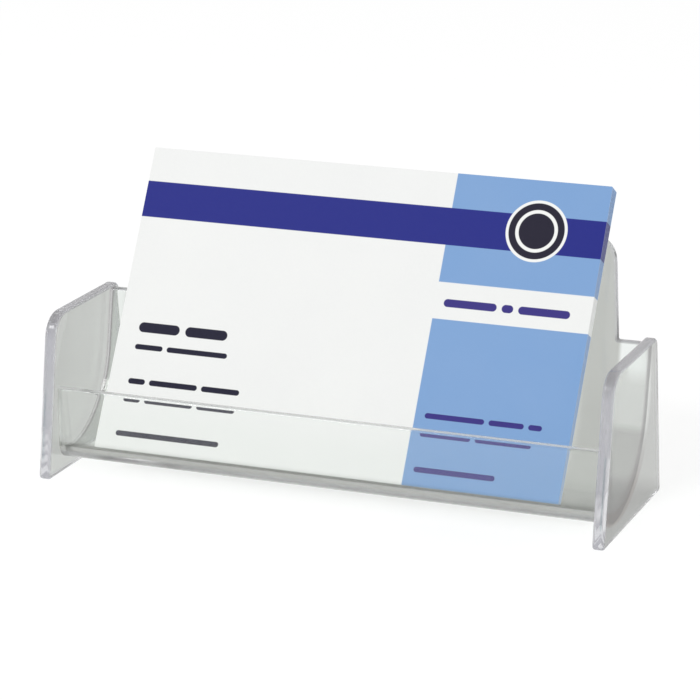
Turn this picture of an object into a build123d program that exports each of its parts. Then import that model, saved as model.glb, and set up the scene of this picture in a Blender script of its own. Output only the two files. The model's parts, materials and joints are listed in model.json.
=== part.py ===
from build123d import *
from math import asin, atan2, cos, degrees, hypot, radians, sin, tan
import os

# Clear plastic desk stand for business cards, with a few cards leaning in its pocket.
# Two end cheeks stand on the desk. Between them hangs a sheet bent to a J: a low lip in front, a round
# trough, and a back that rises to a wide tab. The cards stand in the trough and lean on the tab's top edge.
# Millimetres, +X along the cards, +Y to the back, +Z up. The origin is on the desk, under the middle of
# the whole object, cards included.

# End cheeks
overall_width = 102.6
cheek_thickness = 2.1
cheek_base_depth = 33.8
cheek_top_depth = 25.2
cheek_height = 28.7
cheek_front_radius = 4.6
cheek_rear_radius = 1.4
cheek_foot_radius = 0.8
cheek_edge_radius = 0.5

# Bent panel between the cheeks
panel_thickness = 1.65
panel_edge_radius = 0.4
lip_setback = 4.2
lip_height = 15.65
trough_clearance = 2.5
trough_corner_radius = 1.6
trough_flat = 0.45
pocket_radius = 16.5
back_lean = 10.0
shoulder_drop = 0.4
tab_base_width = 90.2
tab_rise = 16.3
tab_side_draft = 9.2
tab_lean = 21.0
tab_bend_radius = 14.0
tab_corner_radius = 5.0
tab_root_radius = 0.3

# Cards
card_width = 85.0
card_height = 55.0
card_thickness = 0.25
card_count = 5
card_gap = 0.02
card_fan = 0.38
card_side_shift = -1.0
card_front_gap = 0.92
card_seat_gap = 0.1
card_rest_gap = 0.1

# Room allowed when a face is picked by its place
tolerance = 0.001

# Panel's front face as a section: depths are measured back from the cheeks' front feet
inner_width = overall_width - 2 * cheek_thickness
floor_height = trough_clearance + panel_thickness
shoulder_height = cheek_height - shoulder_drop
tab_top_height = shoulder_height + tab_rise
lip_inner_depth = lip_setback + panel_thickness
trough_turn = radians(90 - back_lean)
back_foot_depth = (
    lip_inner_depth + trough_corner_radius + trough_flat + pocket_radius * tan(trough_turn / 2)
)
shoulder_depth = back_foot_depth + (shoulder_height - floor_height) * tan(radians(back_lean))
tab_top_depth = shoulder_depth + tab_rise * tan(radians(tab_lean))
tab_end_height = tab_top_height + panel_thickness
tab_end_depth = tab_top_depth + panel_thickness * tan(radians(tab_lean))

# Rearmost card: its foot stands on the trough's floor and its back clears the tab's top edge
card_pitch = card_thickness + card_gap
stack_thickness = card_count * card_pitch - card_gap
stack_foot_depth = lip_inner_depth + card_front_gap + stack_thickness
stack_foot_height = floor_height + card_seat_gap
rest_run = tab_top_depth - stack_foot_depth
rest_rise = tab_top_height - stack_foot_height
rear_lean = degrees(atan2(rest_run, rest_rise) - asin(card_rest_gap / hypot(rest_run, rest_rise)))

# The whole depth runs from the cheeks' rounded front feet to the top of the rearmost card
cheek_taper = (cheek_base_depth - cheek_top_depth) / 2
foot_angle = atan2(cheek_height, cheek_taper)
foot_cut = cheek_foot_radius * (1 / tan(foot_angle / 2) - 1)
rear_reach = max(stack_foot_depth + card_height * sin(radians(rear_lean)), cheek_base_depth - foot_cut)
front_y = -(foot_cut + rear_reach) / 2


def section_point(depth, height):
    """Point of the side view, given its depth behind the cheeks' front feet and its height."""
    return (front_y + depth, height)


def outer_corner(corner, lean_before, lean_after):
    """Corner of the sheet's outer face, a thickness away from a corner of its inner face."""
    middle = radians((lean_before + lean_after) / 2)
    reach = panel_thickness / cos(radians((lean_before - lean_after) / 2))
    return (corner[0] + reach * cos(middle), corner[1] - reach * sin(middle))


def card_plane(place):
    """Plane of a card's back at its bottom edge, counted forwards from the rearmost card."""
    lean = radians(rear_lean - place * card_fan)
    rear = radians(rear_lean)
    depth = stack_foot_depth - place * card_pitch * cos(rear)
    height = stack_foot_height + place * card_pitch * sin(rear)
    foot = (card_side_shift, front_y + depth, height)
    return Plane(origin=foot, x_dir=(1, 0, 0), z_dir=(0, -cos(lean), sin(lean)))


def is_at_height(face, height):
    """Whether a face lies level at the given height."""
    return abs(face.center().Z - height) < tolerance and abs(face.normal_at().Z) > 1 - tolerance


def is_back_rim(face):
    """Whether a face is part of the back's cut edge: the shoulders and the outline of the tab."""
    return face.center().Z > shoulder_height - tolerance and abs(face.normal_at().Y) < tolerance


os.makedirs("parts", exist_ok=True)

# End cheeks: one trapezoid on each side, standing on its long edge
for cheek_name, side in (("left_cheek", -1), ("right_cheek", 1)):
    with BuildPart() as cheek:
        with BuildSketch(Plane.YZ.offset(side * inner_width / 2)) as cheek_outline:
            with BuildLine():
                Polyline(
                    section_point(0, 0),
                    section_point(cheek_base_depth, 0),
                    section_point(cheek_base_depth - cheek_taper, cheek_height),
                    section_point(cheek_taper, cheek_height),
                    close=True,
                )
            make_face()
            foot_corners = cheek_outline.vertices().group_by(Axis.Y)[0]
            fillet(foot_corners, cheek_foot_radius)
            front_corner = cheek_outline.vertices().group_by(Axis.Y)[-1].sort_by(Axis.X)[0]
            fillet(front_corner, cheek_front_radius)
            rear_corner = cheek_outline.vertices().group_by(Axis.Y)[-1].sort_by(Axis.X)[-1]
            fillet(rear_corner, cheek_rear_radius)
        extrude(amount=side * cheek_thickness)
        plate_faces = cheek.faces().filter_by(Axis.X)
        fillet(plate_faces.edges(), cheek_edge_radius)
    cheek.part.label = cheek_name
    export_step(cheek.part, f"parts/{cheek_name}.step")

# Pocket panel: the bent section runs from cheek to cheek, cut to the front view with its raised tab.
# Each stretch of the section has its lean from upright, tilting to the back as the sheet is followed
lip_lean = 180
floor_lean = 90
inner_corners = [
    section_point(lip_inner_depth, lip_height),
    section_point(lip_inner_depth, floor_height),
    section_point(back_foot_depth, floor_height),
    section_point(shoulder_depth, shoulder_height),
    section_point(tab_end_depth, tab_end_height),
]
outer_corners = [
    outer_corner(inner_corners[0], lip_lean, lip_lean),
    outer_corner(inner_corners[1], lip_lean, floor_lean),
    outer_corner(inner_corners[2], floor_lean, back_lean),
    outer_corner(inner_corners[3], back_lean, tab_lean),
    outer_corner(inner_corners[4], tab_lean, tab_lean),
]
tab_base_half = tab_base_width / 2
tab_top_half = tab_base_half - tab_rise * tan(radians(tab_side_draft))
with BuildPart() as pocket_panel:
    with BuildSketch(Plane.YZ) as panel_section:
        with BuildLine():
            inner_face = FilletPolyline(
                *inner_corners,
                radius=[trough_corner_radius, pocket_radius, tab_bend_radius],
            )
            outer_face = FilletPolyline(
                *outer_corners,
                radius=[
                    trough_corner_radius + panel_thickness,
                    pocket_radius + panel_thickness,
                    tab_bend_radius - panel_thickness,
                ],
            )
            Line(inner_face @ 0, outer_face @ 0)
            Line(inner_face @ 1, outer_face @ 1)
        make_face()
    extrude(amount=inner_width / 2, both=True)
    with BuildSketch(Plane.XZ) as front_view:
        with BuildLine():
            Polyline(
                (-inner_width / 2, 0),
                (inner_width / 2, 0),
                (inner_width / 2, shoulder_height),
                (tab_base_half, shoulder_height),
                (tab_top_half, tab_top_height),
                (-tab_top_half, tab_top_height),
                (-tab_base_half, shoulder_height),
                (-inner_width / 2, shoulder_height),
                close=True,
            )
        make_face()
        tab_corners = front_view.vertices().group_by(Axis.Y)[-1]
        fillet(tab_corners, tab_corner_radius)
        tab_roots = front_view.vertices().group_by(Axis.Y)[1].sort_by(Axis.X)[1:3]
        fillet(tab_roots, tab_root_radius)
    extrude(amount=rear_reach, both=True, mode=Mode.INTERSECT)
    lip_top = pocket_panel.faces().filter_by(lambda face: is_at_height(face, lip_height))
    fillet(lip_top.edges().filter_by(Axis.X), panel_edge_radius)
    rim_faces = pocket_panel.faces().filter_by(is_back_rim)
    fillet(rim_faces.edges().filter_by(Axis.Y, reverse=True), panel_edge_radius)
pocket_panel.part.label = "pocket_panel"
export_step(pocket_panel.part, "parts/pocket_panel.step")

# Cards: each leans a little less than the card behind it, so the stack fans open towards its top
for place in range(card_count):
    card_name = f"card_{card_count - place}"
    with BuildPart() as card:
        with BuildSketch(card_plane(place)):
            Rectangle(card_width, card_height, align=(Align.CENTER, Align.MIN))
        extrude(amount=card_thickness)
    card.part.label = card_name
    export_step(card.part, f"parts/{card_name}.step")
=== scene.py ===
import json
import logging
import math
from dataclasses import dataclass, field
from enum import Enum
from typing import Any, Mapping, Sequence

import bpy
import numpy as np
from mathutils import Matrix, Vector


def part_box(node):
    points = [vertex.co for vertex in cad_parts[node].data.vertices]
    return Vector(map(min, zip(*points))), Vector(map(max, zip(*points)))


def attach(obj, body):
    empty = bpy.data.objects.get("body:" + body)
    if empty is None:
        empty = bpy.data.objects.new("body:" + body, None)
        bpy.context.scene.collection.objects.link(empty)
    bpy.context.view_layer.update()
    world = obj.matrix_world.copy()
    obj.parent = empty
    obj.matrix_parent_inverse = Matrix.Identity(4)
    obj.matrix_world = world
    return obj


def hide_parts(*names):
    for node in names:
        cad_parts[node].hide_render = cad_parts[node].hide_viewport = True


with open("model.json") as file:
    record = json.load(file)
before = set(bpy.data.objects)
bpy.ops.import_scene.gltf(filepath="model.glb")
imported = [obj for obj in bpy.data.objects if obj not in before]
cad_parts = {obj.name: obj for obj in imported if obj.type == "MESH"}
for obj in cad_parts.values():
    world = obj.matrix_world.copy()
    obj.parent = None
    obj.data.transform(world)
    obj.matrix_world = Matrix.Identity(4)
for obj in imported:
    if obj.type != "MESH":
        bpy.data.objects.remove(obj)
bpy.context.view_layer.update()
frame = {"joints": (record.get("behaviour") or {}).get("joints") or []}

log = logging.getLogger("card_stand")
Array = np.ndarray
Colour = tuple[float, float, float, float]
Place = tuple[float, float, float]
Span = tuple[float, float]
MM = 0.001

# Sizes that two classes share; the card's are in mm, as its print is
LIP_HEIGHT = 15.65 * MM
CARD_WIDTH = 85.0
CARD_HEIGHT = 55.0


def screen(red: int, green: int, blue: int) -> Colour:
    """Turn a colour as a screen shows it into linear light.

    Args:
        red: Red from 0 to 255.
        green: Green from 0 to 255.
        blue: Blue from 0 to 255.

    Returns:
        The linear colour, with full alpha.
    """
    share = np.array([red, green, blue]) / 255
    light = np.where(share <= 0.04045, share / 12.92, ((share + 0.055) / 1.055) ** 2.4)
    return (*light.tolist(), 1.0)


class Side(Enum):
    """The end of the stand that a cheek closes."""

    LEFT = "left"
    RIGHT = "right"


class Wire:
    """One output of a shader node, with arithmetic that adds Math nodes."""

    def __init__(self, graph: "Graph", socket: bpy.types.NodeSocket) -> None:
        """Wrap a socket of a graph."""
        self.graph = graph
        self.socket = socket

    def _math(self, operation: str, first: Any, second: Any = 0.0, clamp: bool = False) -> "Wire":
        """Add a Math node and return its result."""
        settings = {"operation": operation, "use_clamp": clamp}
        return self.graph.add("ShaderNodeMath", settings, {0: first, 1: second}).out()

    def __add__(self, other: Any) -> "Wire":
        """Sum of two values."""
        return self._math("ADD", self, other)

    def __radd__(self, other: Any) -> "Wire":
        """Sum with a plain number on the left."""
        return self._math("ADD", other, self)

    def __sub__(self, other: Any) -> "Wire":
        """Difference of two values."""
        return self._math("SUBTRACT", self, other)

    def __rsub__(self, other: Any) -> "Wire":
        """Difference with a plain number on the left."""
        return self._math("SUBTRACT", other, self)

    def __mul__(self, other: Any) -> "Wire":
        """Product of two values."""
        return self._math("MULTIPLY", self, other)

    def __rmul__(self, other: Any) -> "Wire":
        """Product with a plain number on the left."""
        return self._math("MULTIPLY", other, self)

    def clamped(self) -> "Wire":
        """The value held between 0 and 1."""
        return self._math("ADD", self, 0.0, clamp=True)

    def ramp(self, start: float, end: float) -> "Wire":
        """Straight rise from 0 at start to 1 at end, held at both."""
        return self._math("DIVIDE", self - start, end - start, clamp=True)


class Added:
    """A node that was just added, with its outputs by name or number."""

    def __init__(self, graph: "Graph", node: bpy.types.Node) -> None:
        """Wrap a node of a graph."""
        self.graph = graph
        self.node = node

    def out(self, which: int | str = 0) -> Wire:
        """One of the node's outputs."""
        return Wire(self.graph, self.node.outputs[which])


class Graph:
    """A node tree that is written as expressions."""

    def __init__(self, tree: bpy.types.NodeTree) -> None:
        """Take over a node tree and empty it."""
        self.tree = tree
        tree.nodes.clear()

    def add(
        self,
        kind: str,
        settings: Mapping[str, Any] | None = None,
        sockets: Mapping[int | str, Any] | None = None,
    ) -> Added:
        """Add one node.

        Args:
            kind: Blender's name of the node's type.
            settings: Properties that are set first; stops are a ramp's positions and colours.
            sockets: Values, wires or nodes for the inputs, by name or number.

        Returns:
            The node that was added.
        """
        node = self.tree.nodes.new(kind)
        for name, value in (settings or {}).items():
            if name == "stops":
                self._set_stops(node.color_ramp, value)
            else:
                setattr(node, name, value)
        for key, value in (sockets or {}).items():
            if isinstance(value, Added):
                value = value.out()
            if isinstance(value, Wire):
                self.tree.links.new(value.socket, node.inputs[key])
            else:
                node.inputs[key].default_value = value
        return Added(self, node)

    @staticmethod
    def _set_stops(ramp: bpy.types.ColorRamp, stops: Sequence[tuple[float, Colour]]) -> None:
        """Give a colour ramp its stops.

        Args:
            ramp: The ramp.
            stops: Positions and colours, in order.
        """
        while len(ramp.elements) > len(stops):
            ramp.elements.remove(ramp.elements[-1])
        while len(ramp.elements) < len(stops):
            ramp.elements.new(1.0)
        for element, (position, colour) in zip(ramp.elements, stops):
            element.position = position
            element.color = colour

    def blend(self, factor: Any, first: Any, second: Any) -> Wire:
        """Mix two colours.

        Args:
            factor: Share of the second colour.
            first: Colour at 0.
            second: Colour at 1.

        Returns:
            The mixed colour.
        """
        settings = {"data_type": "RGBA", "clamp_factor": True}
        return self.add("ShaderNodeMix", settings, {0: factor, 6: first, 7: second}).out(2)

    def vector(self, operation: str, first: Any, second: Any = (0.0, 0.0, 0.0)) -> Added:
        """Add a Vector Math node."""
        return self.add("ShaderNodeVectorMath", {"operation": operation}, {0: first, 1: second})

    def attribute(self, name: str) -> Wire:
        """A number that is stored on the mesh's points."""
        return self.add("ShaderNodeAttribute", {"attribute_name": name}).out("Fac")

    def noise(self, scale: float, detail: float = 2.0) -> Wire:
        """Noise over the object's own coordinates.

        Args:
            scale: Waves to a metre.
            detail: Finer waves that are added.

        Returns:
            A value from 0 to 1.
        """
        place = self.add("ShaderNodeTexCoord").out("Object")
        sockets = {"Vector": place, "Scale": scale, "Detail": detail}
        return self.add("ShaderNodeTexNoise", None, sockets).out(0)

    def uv(self) -> Wire:
        """The piece's own UV map, as a vector."""
        return self.add("ShaderNodeTexCoord").out("UV")

    def finish(self, surface: Added) -> None:
        """Send a shader to the material's output."""
        self.add("ShaderNodeOutputMaterial", None, {"Surface": surface})


def new_material(name: str) -> tuple[bpy.types.Material, Graph]:
    """Make an empty material.

    Args:
        name: The material's name.

    Returns:
        The material and the graph that fills it.
    """
    material = bpy.data.materials.new(name)
    material.use_nodes = True
    return material, Graph(material.node_tree)


class Tone(Enum):
    """Tones of the plastic, as light that passes through it both ways in and out; several are painted light
    and shade, as marked below.
    """

    CLEAR = screen(252, 253, 252)
    # PALE is a random paler tone, and on the panel's right shoulder a painted reflection
    PALE = screen(236, 240, 238)
    # GLOW is a painted glow in the right cheek's pocket, and a paler tone on parts of the panel
    GLOW = screen(234, 238, 235)
    BODY = screen(192, 194, 191)
    MIST = screen(216, 219, 216)
    SHEET = screen(186, 188, 184)
    # MID and DEEP are painted shade on the right cheek, darker towards its bottom front
    MID = screen(170, 171, 168)
    # LOW is painted shade in the trough
    LOW = screen(152, 153, 149)
    DEEP = screen(128, 128, 125)
    # RIM and CROWN are painted shade on the rounded edges, darker still on the upper rims
    RIM = screen(182, 182, 189)
    CROWN = screen(108, 106, 111)
    BOND = screen(112, 101, 108)
    ARC = screen(104, 90, 84)
    # The next two are a painted image of the lip's end seen through a cheek's rim: a painted dark line and a
    # painted glint
    SEAM = screen(98, 122, 126)
    SHINE = screen(255, 255, 255)


@dataclass(frozen=True)
class Patch:
    """Round, paler part of a plate: its middle and radius on the UV map, and the edge that it starts from."""

    middle: Place
    radius: float
    edge: float
    tone: Tone
    fade: float = 0.05

    def mask(self, graph: Graph, place: Wire, way: Wire) -> Wire:
        """Cover of the patch.

        Args:
            graph: The material's graph.
            place: The UV map.
            way: Distance across the plate, which has to pass the edge.

        Returns:
            1 inside the patch and 0 outside it.
        """
        reach = graph.vector("DISTANCE", place, self.middle).out("Value")
        inside = 1 - reach.ramp(self.radius - self.fade, self.radius)
        return inside * way.ramp(self.edge, self.edge + self.fade)


@dataclass(frozen=True)
class Arc:
    """Darker arc of a plate where the sheet is bonded to it: its middle, radii and ends on the UV map."""

    middle: Place
    inner: float
    outer: float
    low: float
    high: float
    tone: Tone
    fade: float = 0.015
    strength: float = 0.85

    def mask(self, graph: Graph, place: Wire, way: Wire) -> Wire:
        """Cover of the arc, which fades out on its way up.

        Args:
            graph: The material's graph.
            place: The UV map.
            way: Distance across the plate, from the low end of the arc to its high end.

        Returns:
            Up to the arc's strength inside it and 0 beside it.
        """
        reach = graph.vector("DISTANCE", place, self.middle).out("Value")
        ring = reach.ramp(self.inner - self.fade, self.inner) - reach.ramp(self.outer, self.outer + self.fade)
        return ring * (1 - way.ramp(self.low, self.high)) * self.strength


@dataclass(frozen=True)
class Zone:
    """Part of a sheet with a tone of its own, on its UV map.

    Each pair holds the place at which the tone starts to fade in and the one at which it is full: from the
    sheet's left, from its right and along it.
    """

    left: Span
    right: Span
    along: Span
    tone: Tone

    def mask(self, across: Wire, along: Wire) -> Wire:
        """Cover of the zone: 1 past all its fades and 0 before one of them."""
        return across.ramp(*self.left) * across.ramp(*self.right) * along.ramp(*self.along)


@dataclass(frozen=True)
class ClearPlastic:
    """Polished clear plastic with a faint grey body, painted shade along its rims and a darker tone where it
    is bonded.
    """

    name: str
    stops: tuple[tuple[float, Tone], ...] = ((0.0, Tone.BODY),)
    slant: float = 0.0
    zones: tuple[Zone, ...] = ()
    patches: tuple[Patch | Arc, ...] = ()
    refraction: float = 1.5
    polish: float = 0.012
    soft_roughness: float = 0.15
    cloud_scale: float = 60.0
    cloud_share: float = 0.15
    scuff_scale: float = 700.0
    scuff_detail: float = 6.0
    scuff_range: Span = (0.55, 0.8)
    scuff_roughness: float = 0.04
    wave_scale: float = 90.0
    wave_detail: float = 1.0
    wave_strength: float = 0.25
    wave_height: float = 0.008 * MM

    def _tone(self, graph: Graph) -> Wire:
        """Tone of the plastic over a piece.

        It follows the stops along the UV map's second coordinate, to which the slant adds a share of the
        first. Zones and patches then lay their own tones over it, some of them painted light and shade, and
        the
        tags theirs over all: painted shade on the rims and crown, the darker bonds, and a painted dark line
        and painted glint where the lip's end lies behind a cheek's rim.

        Args:
            graph: The material's graph.

        Returns:
            The colour of the plastic.
        """
        place = graph.uv()
        split = graph.add("ShaderNodeSeparateXYZ", None, {0: place})
        across, along = split.out("X"), split.out("Y")
        way = along + across * self.slant
        ramp = [(position, tone.value) for position, tone in self.stops]
        tone = graph.add("ShaderNodeValToRGB", {"stops": ramp}, {0: way}).out("Color")
        tone = graph.blend(graph.noise(self.cloud_scale) * self.cloud_share, tone, Tone.PALE.value)
        for zone in self.zones:
            tone = graph.blend(zone.mask(across, along), tone, zone.tone.value)
        for patch in self.patches:
            tone = graph.blend(patch.mask(graph, place, way), tone, patch.tone.value)
        # Tags: painted shade on the rims and crown, darker bonds at the joints, and a painted dark line and
        # painted glint for the lip's end
        for tag in (Tone.RIM, Tone.CROWN, Tone.BOND, Tone.SEAM, Tone.SHINE):
            tone = graph.blend(graph.attribute(tag.name.lower()), tone, tag.value)
        return tone

    def material(self) -> bpy.types.Material:
        """Build the plastic, which lets the lamps' light pass to what stands behind it.

        Returns:
            The finished material.
        """
        material, graph = new_material(self.name)
        scuffs = graph.noise(self.scuff_scale, self.scuff_detail).ramp(*self.scuff_range)
        soft = graph.attribute("soft")
        waves = {
            "Strength": self.wave_strength,
            "Distance": self.wave_height,
            "Height": graph.noise(self.wave_scale, self.wave_detail),
        }
        sockets = {
            "Base Color": self._tone(graph),
            "Roughness": self.polish + scuffs * self.scuff_roughness + soft * self.soft_roughness,
            "IOR": self.refraction,
            "Transmission Weight": 1.0,
            "Normal": graph.add("ShaderNodeBump", None, waves),
        }
        glass = graph.add("ShaderNodeBsdfPrincipled", None, sockets)
        film = graph.add("ShaderNodeBsdfTransparent", None, {"Color": Tone.CLEAR.value})
        rays = graph.add("ShaderNodeLightPath")
        lit = graph.add("ShaderNodeMixShader", None, {0: rays.out("Is Shadow Ray"), 1: glass, 2: film})
        all_rays = graph.add("ShaderNodeMixShader", None, {0: rays.out("Is Diffuse Ray"), 1: lit, 2: film})
        graph.finish(all_rays)
        return material


@dataclass(frozen=True)
class PrintBar:
    """A plain printed bar on a card, in mm: its left and right from the middle, its foot and height."""

    left: float
    right: float
    foot: float
    height: float
    corner: float = 0.0

    def mask(self, graph: Graph, place: Wire, soft: float = 0.1) -> Wire:
        """Cover of the bar, from the distance to the rectangle that its round corners leave.

        Args:
            graph: The material's graph.
            place: Place on the card, in mm from the middle of its bottom edge.
            soft: Width over which the bar's edge fades.

        Returns:
            1 inside the bar and 0 outside it.
        """
        middle = ((self.left + self.right) / 2, self.foot + self.height / 2, 0.0)
        half = ((self.right - self.left) / 2 - self.corner, self.height / 2 - self.corner, 1.0)
        offset = graph.vector("ABSOLUTE", graph.vector("SUBTRACT", place, middle))
        beyond = graph.vector("MAXIMUM", graph.vector("SUBTRACT", offset, half))
        reach = graph.vector("LENGTH", beyond).out("Value")
        return 1 - reach.ramp(self.corner, self.corner + soft)


@dataclass(frozen=True)
class PrintLine:
    """A line of plain printed bars, in mm: its start, foot and height, and its bars' lengths."""

    start: float
    foot: float
    height: float
    lengths: tuple[float, ...]
    space: float = 0.9

    def bars(self) -> list[PrintBar]:
        """Lay out the line's bars, with round ends, each a space after the last.

        Returns:
            The bars, from the left.
        """
        lefts = [self.start + sum(self.lengths[:k]) + k * self.space for k in range(len(self.lengths))]
        corner = self.height / 2
        return [PrintBar(x, x + w, self.foot, self.height, corner) for x, w in zip(lefts, self.lengths)]


@dataclass(frozen=True)
class CardPrint:
    """Smooth white card with a printed front: column, stripe, plain badge and lines of plain bars.

    Places on the card are in mm. The badge's radii are those of its pale edge, its disc and both sides of
    its ring.
    """

    name: str = "printed_card"
    width: float = CARD_WIDTH
    height: float = CARD_HEIGHT
    paper: Colour = screen(243, 244, 242)
    shade: Colour = screen(234, 235, 235)
    column_ink: Colour = screen(126, 163, 210)
    stripe_ink: Colour = screen(34, 41, 132)
    line_ink: Colour = screen(26, 25, 48)
    column_line_ink: Colour = screen(58, 50, 128)
    badge_ink: Colour = screen(30, 27, 46)
    column: PrintBar = PrintBar(14.85, 85.0, -10.0, 70.0)
    gap: PrintBar = PrintBar(10.0, 85.0, 29.15, 6.4)
    stripe: PrintBar = PrintBar(-85.0, 85.0, 42.2, 6.5)
    badge_middle: Span = (30.5, 46.0)
    badge_radii: tuple[float, ...] = (5.4, 4.9, 3.7, 3.1)
    lines: tuple[PrintLine, ...] = (
        PrintLine(-38.7, 21.25, 1.7, (7.7, 7.9), 1.2),
        PrintLine(-38.75, 18.1, 0.85, (5.2, 11.4)),
        PrintLine(-38.75, 11.85, 0.9, (3.1, 9.05, 7.1)),
        PrintLine(-38.75, 8.8, 0.9, (3.1, 9.05, 7.1)),
        PrintLine(-38.9, 2.65, 0.85, (19.4,)),
    )
    column_lines: tuple[PrintLine, ...] = (
        PrintLine(16.4, 31.35, 1.3, (9.4, 1.95, 9.05), 1.0),
        PrintLine(16.6, 11.75, 0.85, (10.5, 6.1, 2.3)),
        PrintLine(16.5, 8.75, 0.85, (8.9, 9.8)),
        PrintLine(16.5, 2.6, 0.85, (14.3,)),
    )
    fibre_scale: float = 2600.0
    fibre_detail: float = 4.0
    fibre_shade: float = 0.3
    fibre_roughness: float = 0.12
    fibre_strength: float = 0.12
    fibre_depth: float = 0.03 * MM
    cloud_scale: float = 70.0
    cloud_shade: float = 0.5
    cloud_ink: float = 0.06
    column_cover: float = 0.96
    roughness: float = 0.5
    ink_polish: float = 0.14
    gleam: float = 0.12

    @staticmethod
    def _cover(graph: Graph, place: Wire, lines: Sequence[PrintLine]) -> Wire:
        """Cover of some lines together.

        Args:
            graph: The material's graph.
            place: Place on the card, in mm.
            lines: Lines whose bars don't overlap.

        Returns:
            1 inside a bar and 0 outside them all.
        """
        first, *rest = [bar.mask(graph, place) for line in lines for bar in line.bars()]
        return sum(rest, first)

    def _disc(self, radius: float) -> PrintBar:
        """A disc of the badge: a bar as wide as it is high, with the radius at its corners."""
        x, y = self.badge_middle
        return PrintBar(x - radius, x + radius, y - radius, 2 * radius, radius)

    def material(self) -> bpy.types.Material:
        """Build the card's finish.

        Returns:
            The finished material, printed where the ink attribute is 1 and bare paper where it is 0.
        """
        material, graph = new_material(self.name)
        scaled = graph.vector("MULTIPLY", graph.uv(), (self.width, self.height, 0.0))
        place = graph.vector("SUBTRACT", scaled, (self.width / 2, 0.0, 0.0)).out()
        fibre = graph.noise(self.fibre_scale, self.fibre_detail)
        cloud = graph.noise(self.cloud_scale)
        paper = graph.blend(cloud * self.cloud_shade + fibre * self.fibre_shade, self.paper, self.shade)
        column = self.column.mask(graph, place) * (1 - self.gap.mask(graph, place))
        stripe = self.stripe.mask(graph, place)
        lines = self._cover(graph, place, self.lines)
        column_lines = self._cover(graph, place, self.column_lines)
        edge, badge, ring, core = [self._disc(radius).mask(graph, place) for radius in self.badge_radii]
        layers = (
            (column * (self.column_cover + cloud * self.cloud_ink), self.column_ink),
            (stripe, self.stripe_ink),
            (lines, self.line_ink),
            (column_lines, self.column_line_ink),
            (edge, self.paper),
            (badge - ring + core, self.badge_ink),
        )
        design = paper
        for mask, colour in layers:
            design = graph.blend(mask, design, colour)
        ink = graph.attribute("ink")
        cover = (column + stripe + lines + column_lines).clamped() * ink
        grain = {"Strength": self.fibre_strength, "Distance": self.fibre_depth, "Height": fibre}
        sockets = {
            "Base Color": graph.blend(ink, paper, design),
            "Roughness": self.roughness + fibre * self.fibre_roughness - cover * self.ink_polish,
            "Specular IOR Level": self.gleam,
            "Normal": graph.add("ShaderNodeBump", None, grain),
        }
        graph.finish(graph.add("ShaderNodeBsdfPrincipled", None, sockets))
        return material


@dataclass
class Surface:
    """Points and faces of a closed surface, with what its finish reads from them."""

    points: Array
    quads: Array
    uv: Array
    tags: dict[str, Array]
    triangles: Array = field(default_factory=lambda: np.empty((0, 3), int))
    sharp: float = math.radians(35)

    def _turn_outwards(self) -> None:
        """Turn the faces outwards: the volume that they enclose, summed from the origin, is then positive."""
        corners = np.concatenate([self.triangles, self.quads[:, [0, 1, 2]], self.quads[:, [0, 2, 3]]])
        a, b, c = (self.points[corners[:, k]] for k in range(3))
        if np.einsum("ij,ij->i", a, np.cross(b, c)).sum() < 0:
            self.quads = self.quads[:, ::-1]
            self.triangles = self.triangles[:, ::-1]

    def build(self, name: str) -> bpy.types.Object:
        """Put the surface into a new object at the origin.

        Args:
            name: The object's name.

        Returns:
            The object, smooth but for edges sharper than the sharp angle.
        """
        self._turn_outwards()
        mesh = bpy.data.meshes.new(name)
        mesh.from_pydata(self.points.tolist(), [], self.triangles.tolist() + self.quads.tolist())
        layer = mesh.uv_layers.new(name="UVMap")
        loops = np.empty(len(mesh.loops), np.int32)
        mesh.loops.foreach_get("vertex_index", loops)
        layer.data.foreach_set("uv", self.uv[loops].ravel())
        for tag, values in self.tags.items():
            mesh.attributes.new(tag, "FLOAT", "POINT").data.foreach_set("value", values)
        mesh.shade_smooth()
        mesh.set_sharp_from_angle(angle=self.sharp)
        mesh.update()
        piece = bpy.data.objects.new(name, mesh)
        bpy.context.scene.collection.objects.link(piece)
        return piece


def grid_quads(rows: int, columns: int, wrap: bool) -> Array:
    """Corner numbers of the quads of a grid of points.

    Args:
        rows: Points in the first direction.
        columns: Points in the second direction.
        wrap: Whether the second direction closes on itself.

    Returns:
        One row of four numbers for each quad.
    """
    numbers = np.arange(rows * columns).reshape(rows, columns)
    if wrap:
        numbers = np.concatenate([numbers, numbers[:, :1]], axis=1)
    corners = (numbers[:-1, :-1], numbers[1:, :-1], numbers[1:, 1:], numbers[:-1, 1:])
    return np.stack([c.ravel() for c in corners], axis=1)


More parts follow.
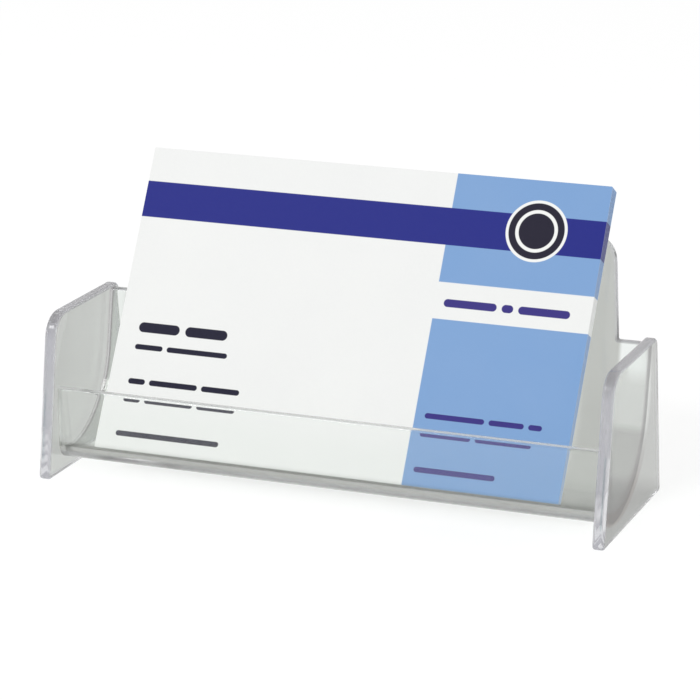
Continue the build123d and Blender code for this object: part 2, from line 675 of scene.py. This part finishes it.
def rounded_line(
    corners: Array, radii: Array, closed: bool, run_step: float, turn_step: float
) -> tuple[Array, Array]:
    """Points and left-hand normals of a line through corners that are rounded by arcs.

    Each arc touches its two runs at the radius times the tangent of half the turn from the corner, and its
    points turn about its centre by equal angles. Runs are divided evenly.

    Args:
        corners: Corner points in a plane, in order.
        radii: Radius at each corner; an open line's first and last aren't used.
        closed: Whether the last corner joins the first.
        run_step: Longest step on a run.
        turn_step: Largest turn between two points of an arc, in radians.

    Returns:
        The points and the unit normals to the left of the way along them.
    """
    count = len(corners)
    ahead = np.roll(corners, -1, axis=0) - corners
    heading = np.arctan2(ahead[:, 1], ahead[:, 0])
    places, facing = [], []
    runs = count if closed else count - 1
    turn = (heading - np.roll(heading, 1) + np.pi) % (2 * np.pi) - np.pi
    if not closed:
        turn[[0, -1]] = 0.0
    cut = np.abs(radii * np.tan(turn / 2))
    for k in range(count):
        if turn[k] != 0:
            sign = np.sign(turn[k])
            before = np.array([np.cos(heading[k - 1]), np.sin(heading[k - 1])])
            centre = corners[k] - cut[k] * before + sign * radii[k] * np.array([-before[1], before[0]])
            steps = max(2, int(np.ceil(abs(turn[k]) / turn_step)) + 1)
            angle = heading[k - 1] + np.linspace(0, turn[k], steps)
            left = np.stack([-np.sin(angle), np.cos(angle)], axis=1)
            places.append(centre - sign * radii[k] * left)
            facing.append(left)
        elif not closed:
            angle = heading[min(k, count - 2)]
            places.append(corners[k][None])
            facing.append(np.array([[-np.sin(angle), np.cos(angle)]]))
        if k < runs:
            unit = np.array([np.cos(heading[k]), np.sin(heading[k])])
            start = corners[k] + cut[k] * unit
            length = np.hypot(*ahead[k]) - cut[k] - cut[(k + 1) % count]
            steps = max(1, int(np.ceil(length / run_step)))
            along = np.linspace(0, length, steps + 1)[1:-1, None]
            places.append(start + along * unit)
            facing.append(np.broadcast_to([-unit[1], unit[0]], along.shape[:1] + (2,)))
    return np.concatenate(places), np.concatenate(facing)


def rim_profile(thickness: float, radius: float, steps: int, flat_steps: int = 5) -> tuple[Array, Array]:
    """Round-cornered edge of a sheet, from its upper face to its lower one.

    Over each quarter turn the inset is the radius times one less the sine of the angle, and the depth is the
    radius times one less its cosine. The flat between the turns lies on the outline.

    Args:
        thickness: The sheet's thickness.
        radius: Radius of both edges.
        steps: Steps in each quarter turn.
        flat_steps: Steps on the flat between them.

    Returns:
        How far each point lies inside the outline, and how far below the upper face.
    """
    angle = np.linspace(0, np.pi / 2, steps + 1)
    inset = radius * (1 - np.sin(angle))
    below = radius * (1 - np.cos(angle))
    flat = np.linspace(radius, thickness - radius, flat_steps + 1)[1:-1]
    insets = np.concatenate([inset, np.zeros_like(flat), inset[::-1]])
    return insets, np.concatenate([below, flat, thickness - below[::-1]])


def rim_share(count: int) -> Array:
    """Share of the rim at each point of its profile: the root of a half wave, 0 at both faces."""
    return np.sin(np.linspace(0, np.pi, count)) ** 0.5


def rounded_plate(
    outline: Array, outer: Array, thickness: float, radius: float, guard: float, steps: int
) -> tuple[Array, Array, Array, Array]:
    """Flat plate with round edges: its outline is carried over a rim profile, and both faces close at a pole.

    A point lies at the outline, less the profile's inset along the outward normal, at the profile's height.

    Args:
        outline: Points of the closed outline.
        outer: Outward normals of the outline.
        thickness: The plate's thickness.
        radius: Radius of its edges.
        guard: Width of the band that keeps the faces flat beside the rim.
        steps: Steps in each quarter turn of the rim.

    Returns:
        Points as two plane coordinates and a height from -thickness/2, quads, triangles and the rim's share.
    """
    inset, below = rim_profile(thickness, radius, steps)
    rim = np.concatenate([[0.0], rim_share(len(inset)), [0.0]])
    inset = np.concatenate([[radius + guard], inset, [radius + guard]])
    below = np.concatenate([[0.0], below, [thickness]])
    rings, count = len(inset), len(outline)
    flat = outline[None] - inset[:, None, None] * outer[None]
    height = np.broadcast_to(thickness / 2 - below[:, None, None], flat.shape[:2] + (1,))
    body = np.concatenate([flat, height], axis=2).reshape(-1, 3)
    middle = outline.mean(axis=0)
    poles = np.array([[*middle, thickness / 2], [*middle, -thickness / 2]])
    ring = np.arange(count)
    after = np.roll(ring, -1)
    last = (rings - 1) * count
    top = np.stack([np.full(count, rings * count), ring, after], axis=1)
    bottom = np.stack([np.full(count, rings * count + 1), last + after, last + ring], axis=1)
    share = np.concatenate([np.repeat(rim, count), [0.0, 0.0]])
    quads = grid_quads(rings, count, wrap=True)
    return np.concatenate([body, poles]), quads, np.concatenate([top, bottom]), share


@dataclass
class Cheek:
    """End plate of the stand: a trapezoid with a wide front corner, a tight rear one and round edges.

    The crown's painted shade rises over a span counted from the plate's top. The painted dark line and the
    painted glint, the strip, that stand for the lip's end lie at shares of its thickness, counted from its
    inner face.
    """

    side: Side
    base_depth: float = 33.8 * MM
    top_depth: float = 25.2 * MM
    front_radius: float = 4.6 * MM
    rear_radius: float = 1.4 * MM
    foot_radius: float = 0.8 * MM
    edge_radius: float = 0.5 * MM
    guard: float = 0.08 * MM
    run_step: float = 0.6 * MM
    turn_step: float = math.radians(5)
    rim_steps: int = 6
    front_facing: float = 0.7
    # Painted shade on the upper rim and along the rim's borders
    crown_rise: Span = (-4.0 * MM, -1.0 * MM)
    border_share: float = 0.25
    # Painted dark line and painted glint where the lip's end lies behind the front rim: its heights, places
    # and shares
    lip_foot: float = 3.2 * MM
    lip_height: float = LIP_HEIGHT
    lip_fade: float = 0.4 * MM
    painted_line_place: float = 0.66
    painted_line_width: float = 0.05
    painted_line_share: float = 0.85
    strip_rise: Span = (0.8, 0.86)
    strip_rim: float = 0.4
    strip_share: float = 0.8

    @property
    def node(self) -> str:
        """Name of the CAD node that the cheek stands for."""
        return f"{self.side.value}_cheek"

    def build(self) -> bpy.types.Object:
        """Model the plate between the limits of its CAD node.

        The trapezoid's rounded outline lies in Y and Z, and the plate's height runs along X.

        Returns:
            The cheek.
        """
        low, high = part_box(self.node)
        middle = (low.y + high.y) / 2
        half_base, half_top = self.base_depth / 2, self.top_depth / 2
        corners = np.array(
            [
                [middle - half_base, low.z],
                [middle + half_base, low.z],
                [middle + half_top, high.z],
                [middle - half_top, high.z],
            ]
        )
        radii = np.array([self.foot_radius, self.foot_radius, self.rear_radius, self.front_radius])
        outline, left = rounded_line(corners, radii, True, self.run_step, self.turn_step)
        flat, quads, triangles, rim = rounded_plate(
            outline, -left, high.x - low.x, self.edge_radius, self.guard, self.rim_steps
        )
        points = np.stack([(low.x + high.x) / 2 + flat[:, 2], flat[:, 0], flat[:, 1]], axis=1)
        uv = (flat[:, :2] - [low.y, low.z]) / (high.y - low.y)
        ring = np.arange(len(flat)) // len(outline)
        front = np.resize(left[:, 0] > self.front_facing, len(flat))
        border = (ring == 1) | (ring == ring[-1] - 2)
        tags = self._tags(points, rim, front, border)
        return Surface(points, quads, uv, tags, triangles).build(f"{self.node}_plate")

    def _tags(self, points: Array, rim: Array, front: Array, border: Array) -> dict[str, Array]:
        """What the finish reads from the plate.

        The rim is painted shade, and the crown lays more painted shade on the upper rim and, as a thin line,
        on the borders of the rim. Where the end of the panel's lip lies behind the front rim, a painted glint
        runs as a bright strip on the outer round, with a painted dark line beside it.

        Args:
            points: The plate's points.
            rim: Share of the rim at each point.
            front: Where the outline is its front edge.
            border: Where the rim starts on a face.

        Returns:
            Values at the points, by attribute.
        """
        low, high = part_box(self.node)
        height = points[:, 2] - low.z
        depth = (np.abs(points[:, 0]) - min(abs(low.x), abs(high.x))) / (high.x - low.x)
        top = np.interp(points[:, 2] - high.z, self.crown_rise, (0, 1))
        lip = (self.lip_foot, self.lip_foot + self.lip_fade, self.lip_height - self.lip_fade, self.lip_height)
        # Painted image of the lip's end behind the front rim: a painted dark line and a painted glint
        beside = front * np.interp(height, lip, (0, 1, 1, 0))
        seam = np.exp(-(((depth - self.painted_line_place) / self.painted_line_width) ** 2))
        strip = np.interp(depth, self.strip_rise, (0, 1)) * np.clip(rim / self.strip_rim, 0, 1)
        return {
            # rim and crown are painted shade on the edges
            "rim": rim,
            "crown": np.maximum(rim * top, border * self.border_share * (1 + top)),
            "seam": self.painted_line_share * beside * seam,
            "shine": self.strip_share * beside * strip,
            "soft": rim,
        }

    def plastic(self) -> ClearPlastic:
        """Choose the cheek's tones; the right one shows the curve of the pocket that ends on it, as painted
        light and shade.

        Returns:
            The cheek's finish.
        """
        name = f"{self.node}_plastic"
        if self.side is Side.LEFT:
            return ClearPlastic(name)
        # Right cheek: painted light and shade of the view through it, paler within the pocket's curve and a
        # painted glow higher in it
        pocket, radius = (0.235, 0.63, 0.0), 0.55
        low_edge, high_edge = 0.36, 0.62
        patches = (
            Patch(pocket, radius, low_edge, Tone.BODY),
            Arc(pocket, inner=0.49, outer=0.545, low=low_edge, high=high_edge, tone=Tone.ARC),
            Patch(pocket, radius, high_edge, Tone.GLOW),
        )
        # Painted shade: darker towards the bottom front
        stops = ((0.3, Tone.DEEP), (0.41, Tone.MID))
        return ClearPlastic(name, stops, slant=0.33, patches=patches)

    def dress(self, piece: bpy.types.Object) -> None:
        """Give the cheek its finish and its place in the part.

        Args:
            piece: The cheek.
        """
        piece.data.materials.append(self.plastic().material())
        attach(piece, "holder")
        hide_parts(self.node)


@dataclass
class PocketPanel:
    """Sheet bent to a J between the cheeks: lip, trough, back and a raised tab.

    The fields from half_width on are worked out. They give the sheet's limits and, for each run or bend of
    its inner face, the distance, heading and place at which it starts, and its curvature.
    """

    thickness: float = 1.65 * MM
    edge_radius: float = 0.4 * MM
    lip_height: float = LIP_HEIGHT
    trough_radius: float = 1.6 * MM
    trough_flat: float = 0.45 * MM
    pocket_radius: float = 16.5 * MM
    back_lean: float = math.radians(10.0)
    tab_lean: float = math.radians(21.0)
    tab_bend_radius: float = 14.0 * MM
    shoulder_height: float = 28.3 * MM
    tab_base_width: float = 90.2 * MM
    tab_draft: float = math.radians(9.2)
    tab_corner_radius: float = 5.0 * MM
    tab_root_radius: float = 0.3 * MM
    end_gap: float = 0.02 * MM
    guard: float = 0.08 * MM
    rim_steps: int = 6
    run_step: float = 0.9 * MM
    turn_step: float = math.radians(6)
    end_columns: Span = (0.3 * MM, 0.5 * MM)
    row_counts: tuple[int, ...] = (8, 14, 2, 44, 8)
    upper_rows: int = 41
    edge_samples: int = 4000
    # Share of the painted rim shade that the lip keeps
    lip_rim: float = 0.4
    bond_width: float = 0.5 * MM
    bond_power: float = 1.5
    bond_rise: Span = (1.2 * MM, 9.6 * MM)
    bond_least: float = 0.3
    soft_trough: tuple[float, ...] = (9.5 * MM, 10.5 * MM, 14.0 * MM, 17.0 * MM)
    # How far above the shoulders the crown's painted shade reaches
    crown_height: float = 0.6 * MM
    half_width: float = field(init=False)
    top_height: float = field(init=False)
    starts: Array = field(init=False)
    headings: Array = field(init=False)
    curves: Array = field(init=False)
    spots: Array = field(init=False)

    def __post_init__(self) -> None:
        """Work out the runs and bends of the inner face, from the lip's top edge to past the tab's."""
        low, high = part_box("pocket_panel")
        self.half_width = high.x - self.end_gap
        self.top_height = high.z
        floor = low.z + self.thickness
        back_turn = math.pi / 2 - self.back_lean
        tab_turn = self.back_lean - self.tab_lean
        bend_cut = self.tab_bend_radius * math.tan(-tab_turn / 2)
        pocket_top = floor + self.pocket_radius * (1 - math.sin(self.back_lean))
        lengths = [
            self.lip_height - floor - self.trough_radius,
            self.trough_radius * math.pi / 2,
            self.trough_flat,
            self.pocket_radius * back_turn,
            (self.shoulder_height - pocket_top) / math.cos(self.back_lean) - bend_cut,
            -self.tab_bend_radius * tab_turn,
            (self.top_height - self.shoulder_height) / math.cos(self.tab_lean) + self.thickness,
        ]
        turns = [0, math.pi / 2, 0, back_turn, 0, tab_turn, 0]
        self.starts = np.concatenate([[0], np.cumsum(lengths)])
        self.headings = -math.pi / 2 + np.concatenate([[0], np.cumsum(turns)])[:-1]
        self.curves = np.array(turns) / np.array(lengths)
        self.spots = np.zeros((len(lengths), 2))
        self.spots[0] = low.y + self.thickness, self.lip_height
        for k, length in enumerate(lengths[:-1]):
            self.spots[k + 1] = self._walk(np.array([k]), np.array([length]))[0][0]

    def _walk(self, run: Array, along: Array) -> tuple[Array, Array]:
        """Place and heading at a distance along runs.

        On a bend of curvature c the heading grows by c times the distance, and the place moves by the
        difference of the heading's sine, and of its cosine, over c. On a straight run it moves ahead.

        Args:
            run: Numbers of the runs.
            along: Distances from the runs' starts.

        Returns:
            Depth and height, and the headings.
        """
        start = self.headings[run]
        curve = self.curves[run]
        bent = curve != 0
        safe = np.where(bent, curve, 1.0)
        end = start + curve * along
        depth = np.where(bent, (np.sin(end) - np.sin(start)) / safe, along * np.cos(start))
        height = np.where(bent, (np.cos(start) - np.cos(end)) / safe, along * np.sin(start))
        return self.spots[run] + np.stack([depth, height], axis=-1), end

    def place(self, across: Array, along: Array, behind: Array) -> Array:
        """Points of the sheet.

        The path's point at the distance along it, moved back along the path's normal.

        Args:
            across: X of the points.
            along: Distances along the inner face from the lip's top.
            behind: Distances behind the inner face.

        Returns:
            The points, with X, Y and Z last.
        """
        run = np.clip(np.searchsorted(self.starts, along, side="right") - 1, 0, len(self.curves) - 1)
        spot, heading = self._walk(run, along - self.starts[run])
        depth = spot[..., 0] + behind * np.sin(heading)
        height = spot[..., 1] - behind * np.cos(heading)
        return np.stack(np.broadcast_arrays(across, depth, height), axis=-1)

    def _top_edge(self) -> tuple[Array, Array, Array]:
        """Outline of the back's upper edge, laid flat.

        The front view's heights become distances along the sheet, looked up on the path. The normals stand
        square to the way from one neighbour of a point to the other.

        Returns:
            X and distance along the sheet, their outward normals, and the lean of the sheet there.
        """
        base = self.tab_base_width / 2
        top = base - (self.top_height - self.shoulder_height) * math.tan(self.tab_draft)
        corners = np.array(
            [
                [self.half_width, self.shoulder_height],
                [base, self.shoulder_height],
                [top, self.top_height],
                [-top, self.top_height],
                [-base, self.shoulder_height],
                [-self.half_width, self.shoulder_height],
            ]
        )
        root, corner = self.tab_root_radius, self.tab_corner_radius
        radii = np.array([0, root, corner, corner, root, 0])
        line, _ = rounded_line(corners, radii, False, self.run_step, self.turn_step)
        inward = np.array([[step, 0.0] for step in self.end_columns])
        line = np.concatenate([line[:1], line[0] - inward, line[1:-1], line[-1] + inward[::-1], line[-1:]])
        along = np.linspace(self.starts[4], self.starts[-1], self.edge_samples)
        height = self.place(np.zeros_like(along), along, np.zeros_like(along))[:, 2]
        edge = np.stack([line[:, 0], np.interp(line[:, 1], height, along)], axis=1)
        way = np.gradient(edge, axis=0)
        outward = np.stack([way[:, 1], -way[:, 0]], axis=1) / np.hypot(*way.T)[:, None]
        outward *= np.sign(outward[len(outward) // 2, 1])
        outward[[0, -1]] = [0.0, 1.0]
        run = np.searchsorted(self.starts, edge[:, 1], side="right") - 1
        lean = np.pi / 2 - self._walk(run, edge[:, 1] - self.starts[run])[1]
        return edge, outward, lean

    def _common_rows(self) -> Array:
        """Divide the sheet from the lip's rim to below the tab's bend, where every loop has the same rows.

        Returns:
            Distances along the sheet.
        """
        marks = self.starts[: len(self.row_counts) + 1].copy()
        marks[0] = self.edge_radius + self.guard
        marks[-1] -= self.guard
        runs = [np.linspace(*span) for span in zip(marks[:-1], marks[1:], self.row_counts)]
        return np.unique(np.round(np.concatenate(runs), 9))

    def _loops(self) -> tuple[Array, Array, Array, Array]:
        """Lay out the sheet's points, a row for each loop.

        A loop runs up the inner face, over the upper rim, down the outer face and round the lip's rim. The
        upper rim is cut level from front to back, so the outer face reaches further by the lean's tangent.
        Above the rows that all loops share, each face is divided evenly up to its rim.

        Returns:
            X, the distances along the sheet and behind its inner face, and the share of the rims.
        """
        edge, outward, lean = self._top_edge()
        inset, below = rim_profile(self.thickness, self.edge_radius, self.rim_steps)
        rise = below[None] * np.tan(lean)[:, None]
        rim_across = edge[:, :1] - outward[:, :1] * inset[None]
        rim_along = edge[:, 1:] - outward[:, 1:] * inset[None] + rise
        rows = self._common_rows()
        common = np.broadcast_to(rows, (len(edge), len(rows)))
        shares = np.linspace(0, 1, self.upper_rows + 1)[1:]
        inner, outer = (
            np.concatenate([common, rows[-1] + (end - self.guard - rows[-1]) * shares], axis=1)
            for end in (rim_along[:, :1], rim_along[:, -1:])
        )
        column = np.broadcast_to(rim_across[:, :1], inner.shape)
        lip = np.broadcast_to(inset[::-1], rim_across.shape)
        lip_across = np.broadcast_to(rim_across[:, :1], lip.shape)
        back = np.broadcast_to(below, lip.shape)
        lip_back = back[:, ::-1]
        inner_back, outer_back = np.zeros_like(column), np.full_like(column, self.thickness)
        half = len(inset) // 2
        across = [lip_across[:, half:], column, rim_across, column, lip_across[:, :half]]
        along = [lip[:, half:], inner, rim_along, outer[:, ::-1], lip[:, :half]]
        behind = [lip_back[:, half:], inner_back, back, outer_back, lip_back[:, :half]]
        across, along, behind = (np.concatenate(parts, axis=1) for parts in (across, along, behind))
        swell = rim_share(len(inset))
        flat = np.zeros(inner.shape[1])
        rims = np.concatenate([swell[half:], flat, swell, flat, swell[:half]])
        return across, along, behind, np.broadcast_to(rims, across.shape)

    def build(self) -> bpy.types.Object:
        """Model the sheet as closed loops, one for each point of the upper edge, with a cap at each end.

        Returns:
            The panel.
        """
        across, along, behind, rims = self._loops()
        points = self.place(across, along, behind)
        count, loop = across.shape
        first = np.arange(loop // 2 - 1)
        cap = np.stack([first, first + 1, loop - 2 - first, loop - 1 - first], axis=1)
        far_cap = cap[:, ::-1] + (count - 1) * loop
        quads = np.concatenate([grid_quads(count, loop, wrap=True), cap, far_cap])
        uv = np.stack([across / (2 * self.half_width) + 0.5, along / self.starts[-1]], axis=-1).reshape(-1, 2)
        tags = self._tags(across, along, points[..., 2], rims)
        return Surface(points.reshape(-1, 3), quads, uv, tags).build("pocket_panel_sheet")

    def _tags(self, across: Array, along: Array, height: Array, rims: Array) -> dict[str, Array]:
        """What the finish reads from the sheet.

        The rims get painted shade, less on the lip, and the crown lays more painted shade on those of the
        shoulders. The bonds darken both ends, and more so up the back. The rims and the trough's front bend
        are less polished.

        Args:
            across: X of the points.
            along: Their distances along the sheet.
            height: Their heights.
            rims: Share of the rims at each point.

        Returns:
            Values at the points, by attribute.
        """
        # Painted shade on the rims, less on the lip, and more on the shoulders' rims as the crown
        rim = np.where(along < self.starts[1], self.lip_rim, 1.0) * rims
        crown = rim * (along > self.starts[4]) * (height < self.shoulder_height + self.crown_height)
        near_end = np.clip((np.abs(across) - self.half_width) / self.bond_width + 1, 0, 1) ** self.bond_power
        bond = near_end * np.interp(along - self.starts[1], self.bond_rise, (self.bond_least, 1))
        soft = np.maximum(rims, np.interp(along, self.soft_trough, (0, 1, 1, 0)))
        tags = {"rim": rim, "crown": crown, "bond": bond, "soft": soft}
        return {name: values.ravel() for name, values in tags.items()}

    def _shares(self, *along: float) -> tuple[float, ...]:
        """Distances along the sheet, in mm, as its second UV coordinate."""
        return tuple(place * MM / self.starts[-1] for place in along)

    def plastic(self) -> ClearPlastic:
        """Choose the panel's tones, from the lip over the trough to the back, and those of its parts; the
        trough's darker tone is painted shade and the right shoulder's paler one a painted reflection.

        Returns:
            The panel's finish.
        """
        # Clear on the lip, darker in the trough as painted shade, grey up the back
        tones = (Tone.CLEAR, Tone.LOW, Tone.LOW, Tone.SHEET)
        stops = tuple(zip(self._shares(9.6, 11.0, 15.0, 22.0), tones))
        # Painted reflection: the back's right end, beside the tab, paler
        shoulder_painted_reflection = Zone((0.962, 0.966), (1.02, 1.01), self._shares(39.5, 42.5), Tone.PALE)
        left_end = Zone((-0.02, -0.01), (0.085, 0.06), self._shares(12.0, 17.0), Tone.MIST)
        left_edge = Zone((-0.02, -0.01), (0.034, 0.022), self._shares(22.0, 30.0), Tone.GLOW)
        behind_cards = Zone((0.093, 0.134), (0.907, 0.866), self._shares(20.0, 26.0), Tone.GLOW)
        zones = (shoulder_painted_reflection, left_end, left_edge, behind_cards)
        return ClearPlastic("panel_plastic", stops, zones=zones)

    def dress(self, piece: bpy.types.Object) -> None:
        """Give the panel its finish and its place in the part.

        Args:
            piece: The panel.
        """
        piece.data.materials.append(self.plastic().material())
        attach(piece, "holder")
        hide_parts("pocket_panel")


@dataclass
class Card:
    """One loose card that leans in the pocket: its CAD node, which is also its body, and its way out."""

    node: str
    slide: Sequence[float]
    width: float = CARD_WIDTH * MM
    height: float = CARD_HEIGHT * MM
    thickness: float = 0.25 * MM
    corner_radius: float = 0.25 * MM
    edge_radius: float = 0.06 * MM
    guard: float = 0.02 * MM
    run_step: float = 4.0 * MM
    turn_step: float = math.radians(15)
    rim_steps: int = 3
    face_share: float = 0.03
    edge_ink: float = 0.45

    def build(self) -> bpy.types.Object:
        """Model the card where its CAD node leans, along the way that it slides.

        From the middle of the foot, a point lies across by the plate's first coordinate, up the slide by its
        second and towards the front by its height. The front is printed and the back is bare, and the edge
        is paler in the middle than at both faces.

        Returns:
            The card.
        """
        axis = np.array(self.slide)
        front = np.array([0.0, -axis[2], axis[1]])
        low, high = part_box(self.node)
        foot = np.array([(low.x + high.x) / 2, low.y + self.thickness * axis[2], low.z])
        half = self.width / 2
        corners = np.array([[-half, 0], [half, 0], [half, self.height], [-half, self.height]])
        radii = np.full(4, self.corner_radius)
        outline, left = rounded_line(corners, radii, True, self.run_step, self.turn_step)
        flat, quads, triangles, _ = rounded_plate(
            outline, -left, self.thickness, self.edge_radius, self.guard, self.rim_steps
        )
        depth = flat[:, 2:] + self.thickness / 2
        side = np.array([[1.0, 0.0, 0.0]])
        points = foot + flat[:, :1] * side + flat[:, 1:2] * axis[None] + depth * front[None]
        uv = np.stack([flat[:, 0] / self.width + 0.5, flat[:, 1] / self.height], axis=1)
        share = depth[:, 0] / self.thickness
        edge = self.edge_ink * (1 + np.abs(2 * share - 1))
        ink = np.where(share > 1 - self.face_share, 1.0, np.where(share < self.face_share, 0.0, edge))
        return Surface(points, quads, uv, {"ink": ink}, triangles).build(f"{self.node}_sheet")

    def dress(self, piece: bpy.types.Object, finish: bpy.types.Material) -> None:
        """Give the card its print and its place in the part.

        Args:
            piece: The card.
            finish: The print, which all cards share.
        """
        piece.data.materials.append(finish)
        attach(piece, self.node)
        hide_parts(self.node)


@dataclass(frozen=True)
class Lamp:
    """Square soft lamp: where it hangs, the length of its sides and its power in watts."""

    name: str
    place: Place
    size: float
    power: float

    def hang(self, target: Place) -> None:
        """Hang the lamp and point it at a target.

        Args:
            target: The place that it lights.
        """
        data = bpy.data.lights.new(self.name, "AREA")
        data.size = self.size
        data.energy = self.power
        lamp = bpy.data.objects.new(self.name, data)
        lamp.location = self.place
        way = Vector(target) - Vector(self.place)
        lamp.rotation_euler = way.to_track_quat("-Z", "Y").to_euler()
        bpy.context.scene.collection.objects.link(lamp)


@dataclass(frozen=True)
class Studio:
    """Pale floor, soft light and the camera of the photograph."""

    floor_half: float = 4.0
    floor_colour: Colour = screen(240, 240, 240)
    floor_lift: float = 0.4
    floor_glow: float = 1.3
    sky: float = 0.82
    lamps: tuple[Lamp, ...] = (
        Lamp("key", (-0.55, -0.85, 0.95), 0.3, 3.6),
        Lamp("fill", (0.9, -0.35, 0.6), 0.25, 0.9),
    )
    lamp_target: Place = (0.0, 0.0, 0.02)
    light_bounces: int = 128
    lens: float = 158.92
    sensor: float = 36.0
    clip: Span = (0.01, 50.0)
    camera_place: Place = (0.18532, -0.47456, 0.17173)
    camera_yaw: float = math.radians(21.34)
    camera_pitch: float = math.radians(16.17)

    def build(self) -> None:
        """Set up the whole studio."""
        self._floor()
        self._sky()
        for lamp in self.lamps:
            lamp.hang(self.lamp_target)
        self._camera()
        scene = bpy.context.scene
        scene.view_settings.view_transform = "Standard"
        scene.cycles.max_bounces = self.light_bounces
        scene.cycles.glossy_bounces = self.light_bounces
        scene.cycles.transmission_bounces = self.light_bounces
        scene.cycles.transparent_max_bounces = self.light_bounces

    @staticmethod
    def _seen(graph: Graph) -> Wire:
        """Tell the rays that show a surface to the camera, straight, mirrored or through glass.

        Args:
            graph: The graph of a material or of the sky.

        Returns:
            1 for such rays and 0 for those that only light something.
        """
        rays = graph.add("ShaderNodeLightPath")
        shown = rays.out("Is Camera Ray") + rays.out("Is Glossy Ray") + rays.out("Is Transmission Ray")
        return shown.clamped()

    def _floor(self) -> None:
        """Lay a plain floor that keeps the shadow and reads as white."""
        span = np.array([-self.floor_half, self.floor_half])
        x, y = np.meshgrid(span, span, indexing="ij")
        points = np.stack([x, y, np.zeros_like(x)], axis=-1).reshape(-1, 3)
        mesh = bpy.data.meshes.new("floor")
        mesh.from_pydata(points.tolist(), [], grid_quads(2, 2, wrap=False).tolist())
        floor = bpy.data.objects.new("floor", mesh)
        bpy.context.scene.collection.objects.link(floor)
        material, graph = new_material("floor")
        matt = graph.add("ShaderNodeBsdfDiffuse", None, {"Color": self.floor_colour})
        glow = graph.add("ShaderNodeEmission", None, {"Strength": self.floor_glow})
        share = self._seen(graph) * self.floor_lift
        graph.finish(graph.add("ShaderNodeMixShader", None, {0: share, 1: matt, 2: glow}))
        mesh.materials.append(material)

    def _sky(self) -> None:
        """Light everything softly, and show white where the sky itself is seen."""
        world = bpy.data.worlds.new("sky")
        bpy.context.scene.world = world
        world.use_nodes = True
        graph = Graph(world.node_tree)
        strength = self.sky + self._seen(graph) * (1 - self.sky)
        light = graph.add("ShaderNodeBackground", None, {"Color": (1, 1, 1, 1), "Strength": strength})
        graph.add("ShaderNodeOutputWorld", None, {"Surface": light})

    def _camera(self) -> None:
        """Stand the camera where the photograph was taken."""
        data = bpy.data.cameras.new("camera")
        data.lens = self.lens
        data.sensor_width = self.sensor
        data.clip_start, data.clip_end = self.clip
        camera = bpy.data.objects.new("camera", data)
        turn = Matrix.Rotation(self.camera_yaw, 4, "Z")
        tilt = Matrix.Rotation(math.pi / 2 - self.camera_pitch, 4, "X")
        camera.matrix_world = Matrix.Translation(self.camera_place) @ turn @ tilt
        bpy.context.scene.collection.objects.link(camera)
        bpy.context.scene.camera = camera


def report(piece: bpy.types.Object) -> None:
    """Log a finished piece with the number of its faces."""
    log.info("%s: %d faces", piece.name, len(piece.data.polygons))


def main() -> None:
    """Build the stand, its cards and the studio, and report each piece."""
    logging.basicConfig(level=logging.INFO, format="%(name)s: %(message)s")
    for plastic_part in (Cheek(Side.LEFT), Cheek(Side.RIGHT), PocketPanel()):
        piece = plastic_part.build()
        plastic_part.dress(piece)
        report(piece)
    finish = CardPrint().material()
    for joint in frame["joints"]:
        card = Card(joint["child"], joint["axis"])
        piece = card.build()
        card.dress(piece, finish)
        report(piece)
    Studio().build()


if __name__ == "__main__":
    main()
